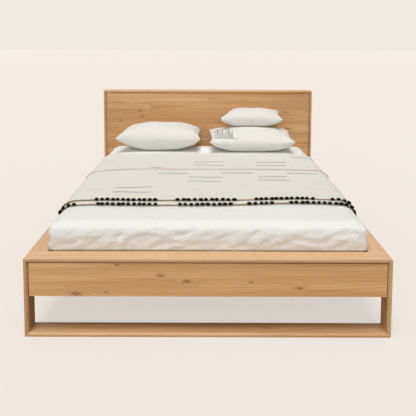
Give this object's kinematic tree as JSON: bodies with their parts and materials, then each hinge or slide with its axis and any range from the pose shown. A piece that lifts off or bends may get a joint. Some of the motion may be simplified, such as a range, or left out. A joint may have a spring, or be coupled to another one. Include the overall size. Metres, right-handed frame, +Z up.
{
  "type": "platform bed",
  "caption": "Queen platform bed on two rectangular oak board loops, inset headboard, wide foot drawer with the same inset front, slatted base, mattress, duvet, throw and pillows.",
  "frame": {"origin": "centre of the footprint on the floor", "axes": "+X to the right seen from the foot, +Y towards the head, +Z up; the foot and its drawer face -Y"},
  "size_m": [1.71, 2.248, 0.958],
  "materials": {
    "oak": "oiled solid oak with small knots, satin",
    "inner_pine": "planed softwood, bare",
    "birch_ply": "clear lacquered birch plywood",
    "zinc_steel": "zinc plated",
    "slide_steel": "zinc plated rolled steel",
    "black_steel": "matt black powder coat",
    "black_rubber": "moulded rubber",
    "mattress_ticking": "knitted ticking",
    "duvet_cotton": "soft washed cotton",
    "throw_cloth": "coarse hand-woven cotton with grey dashes",
    "pompom_wool": "black wool tufts",
    "pillow_linen": "washed linen"
  },
  "bodies": {
    "bed_frame": {"barrel_nuts": "zinc_steel", "beam_brackets": "zinc_steel", "centre_beam": "black_steel", "centre_legs": "black_steel", "connector_bolts": "zinc_steel", "drawer_bumpers": "black_rubber", "duvet": "duvet_cotton", "foot_bottom_stretcher": "oak", "foot_corner_blocks": "inner_pine", "foot_cross_rail": "inner_pine", "foot_left_leg": "oak", "foot_right_leg": "oak", "foot_top_board": "oak", "head_bottom_stretcher": "oak", "head_corner_blocks": "inner_pine", "head_cross_rail": "inner_pine", "head_left_leg": "oak", "head_right_leg": "oak", "head_top_board": "oak", "headboard_battens": "inner_pine", "headboard_cleats": "inner_pine", "headboard_plank_lower": "oak", "headboard_plank_middle": "oak", "headboard_plank_upper": "oak", "headboard_screws": "zinc_steel", "left_pillow": "pillow_linen", "left_rail_apron": "oak", "left_rail_inner": "inner_pine", "left_rail_top": "oak", "left_slat_ledger": "inner_pine", "leg_pads": "black_rubber", "mattress": "mattress_ticking", "mitre_keys": "birch_ply", "pompom_trim": "pompom_wool", "rail_end_blocks": "inner_pine", "rail_spacer_blocks": "inner_pine", "right_pillow": "pillow_linen", "right_rail_apron": "oak", "right_rail_inner": "inner_pine", "right_rail_top": "oak", "right_slat_ledger": "inner_pine", "slat_screws": "zinc_steel", "slats": "inner_pine", "slide_fixed_left": "slide_steel", "slide_fixed_right": "slide_steel", "small_pillow": "pillow_linen", "throw": "throw_cloth"},
    "drawer": {"drawer_front": "oak", "drawer_box_front": "birch_ply", "drawer_side_left": "birch_ply", "drawer_side_right": "birch_ply", "drawer_back": "birch_ply", "drawer_bottom": "birch_ply", "drawer_divider": "birch_ply", "drawer_front_screws": "zinc_steel", "slide_moving_left": "slide_steel", "slide_moving_right": "slide_steel"},
    "slide_middle_left": {"slide_middle_left": "slide_steel"},
    "slide_middle_right": {"slide_middle_right": "slide_steel"}
  },
  "joints": [
    {"name": "foot_drawer_slide", "type": "slide", "parent": "bed_frame", "child": "drawer", "axis": [0, -1, 0], "range_m": [0, 0.58]},
    {"name": "slide_middle_left_run", "type": "slide", "parent": "bed_frame", "child": "slide_middle_left", "axis": [0, -1, 0], "range_m": [0, 0.29]},
    {"name": "slide_middle_right_run", "type": "slide", "parent": "bed_frame", "child": "slide_middle_right", "axis": [0, -1, 0], "range_m": [0, 0.29]}
  ],
  "couplings": [
    {"joint": "slide_middle_left_run", "follows": "foot_drawer_slide", "ratio": 0.5},
    {"joint": "slide_middle_right_run", "follows": "foot_drawer_slide", "ratio": 0.5}
  ]
}
